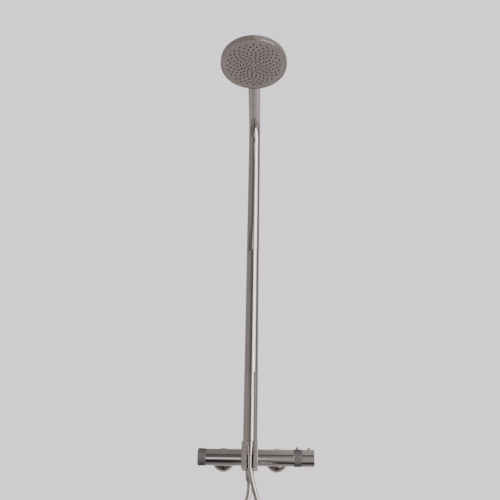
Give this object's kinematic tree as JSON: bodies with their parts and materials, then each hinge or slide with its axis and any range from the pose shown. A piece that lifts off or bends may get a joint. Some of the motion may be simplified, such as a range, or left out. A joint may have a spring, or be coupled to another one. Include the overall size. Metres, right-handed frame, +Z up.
{
  "type": "rainfall shower column",
  "caption": "Wall-mounted thermostatic shower column: bar mixer with knurled controls, tall polished riser with bent arm, round rain shower, and stick handset on a flexible hose.",
  "frame": {"origin": "on the wall plane, midway between the two supply inlets, at the height of the mixer's axis", "axes": "+Z up, +Y into the wall, +X to the right of someone who faces the wall"},
  "size_m": [0.315, 0.542, 1.4498],
  "materials": {
    "steel": "polished stainless steel",
    "satin_steel": "satin stainless steel",
    "knurled_grey": "dark grey fine knurl",
    "brass": "machined",
    "rubber": "matt",
    "white_plastic": "moulded",
    "hose": "silver, glossy"
  },
  "bodies": {
    "column": {"mixer_body": "steel", "left_wall_flange": "steel", "right_wall_flange": "steel", "left_union_nut": "steel", "right_union_nut": "steel", "lower_riser": "steel", "upper_riser": "steel", "bracket_base": "steel", "bracket_post": "steel", "arm_end_plug": "steel", "outlet_nut": "steel", "outlet_ferrule": "steel", "centre_block": "satin_steel", "flow_cartridge": "brass", "diverter_bush": "brass", "thermostatic_cartridge": "brass", "left_wall_union": "brass", "right_wall_union": "brass", "riser_spigot": "brass", "riser_coupling": "brass", "bracket_stud": "brass", "head_ball_stud": "brass", "stud_locknut": "brass", "outlet_nipple": "brass", "left_filter_washer": "rubber", "right_filter_washer": "rubber", "riser_base_o_ring": "rubber", "lower_coupling_o_ring": "rubber", "upper_coupling_o_ring": "rubber", "outlet_washer": "rubber", "coil_tie": "rubber", "left_check_valve": "white_plastic", "right_check_valve": "white_plastic", "hose_outlet_run": "hose", "hose_coil": "hose", "hose_handset_run": "hose"},
    "flow_control": {"flow_spindle": "brass", "flow_knob": "knurled_grey", "flow_end_disc": "steel"},
    "diverter": {"diverter_rotor": "brass", "diverter_ring": "knurled_grey", "diverter_peg": "steel"},
    "temperature_control": {"temperature_spindle": "brass", "temperature_knob": "steel", "temperature_end_disc": "steel", "safety_button_spring": "steel"},
    "button": {"safety_button": "steel"},
    "head_swivel": {"head_ball": "steel"},
    "rain_head": {"ball_joint_nut": "steel", "head_shell": "steel", "head_face_plate": "satin_steel", "nozzle_mat": "rubber", "head_gasket": "rubber"},
    "hose_end": {"handset_ferrule": "steel"},
    "handset": {"handset_body": "steel", "handset_spray_cap": "steel", "handset_spray_insert": "rubber", "handset_flow_regulator": "white_plastic", "handset_nut": "steel", "handset_washer": "rubber"}
  },
  "joints": [
    {"name": "flow_knob_turn", "type": "hinge", "parent": "column", "child": "flow_control", "pos_m": [-0.13, -0.066, 0], "axis": [1, 0, 0], "range_deg": [0, 90]},
    {"name": "diverter_ring_turn", "type": "hinge", "parent": "column", "child": "diverter", "pos_m": [0.129, -0.066, 0], "axis": [1, 0, 0], "range_deg": [-60, 60]},
    {"name": "temperature_knob_turn", "type": "hinge", "parent": "column", "child": "temperature_control", "pos_m": [0.157, -0.066, 0], "axis": [1, 0, 0], "range_deg": [-60, 150]},
    {"name": "safety_button_press", "type": "slide", "parent": "temperature_control", "child": "button", "axis": [0, 0, -1], "range_m": [0, 0.002], "stiffness_N_per_m": 600, "springref_m": -0.001, "deforming": ["safety_button_spring"]},
    {"name": "head_turn", "type": "hinge", "parent": "column", "child": "head_swivel", "pos_m": [0, -0.428, 1.098], "axis": [0, 0, 1], "continuous": true},
    {"name": "head_tilt", "type": "hinge", "parent": "head_swivel", "child": "rain_head", "pos_m": [0, -0.428, 1.098], "axis": [1, 0, 0], "range_deg": [-8, 8]},
    {"name": "handset_lift", "type": "slide", "parent": "column", "child": "hose_end", "axis": [0, 0, 1], "range_m": [0, 0.04]},
    {"name": "handset_turn", "type": "hinge", "parent": "hose_end", "child": "handset", "pos_m": [0.0015, -0.121, 0.1], "axis": [0, 0, 1], "continuous": true}
  ]
}
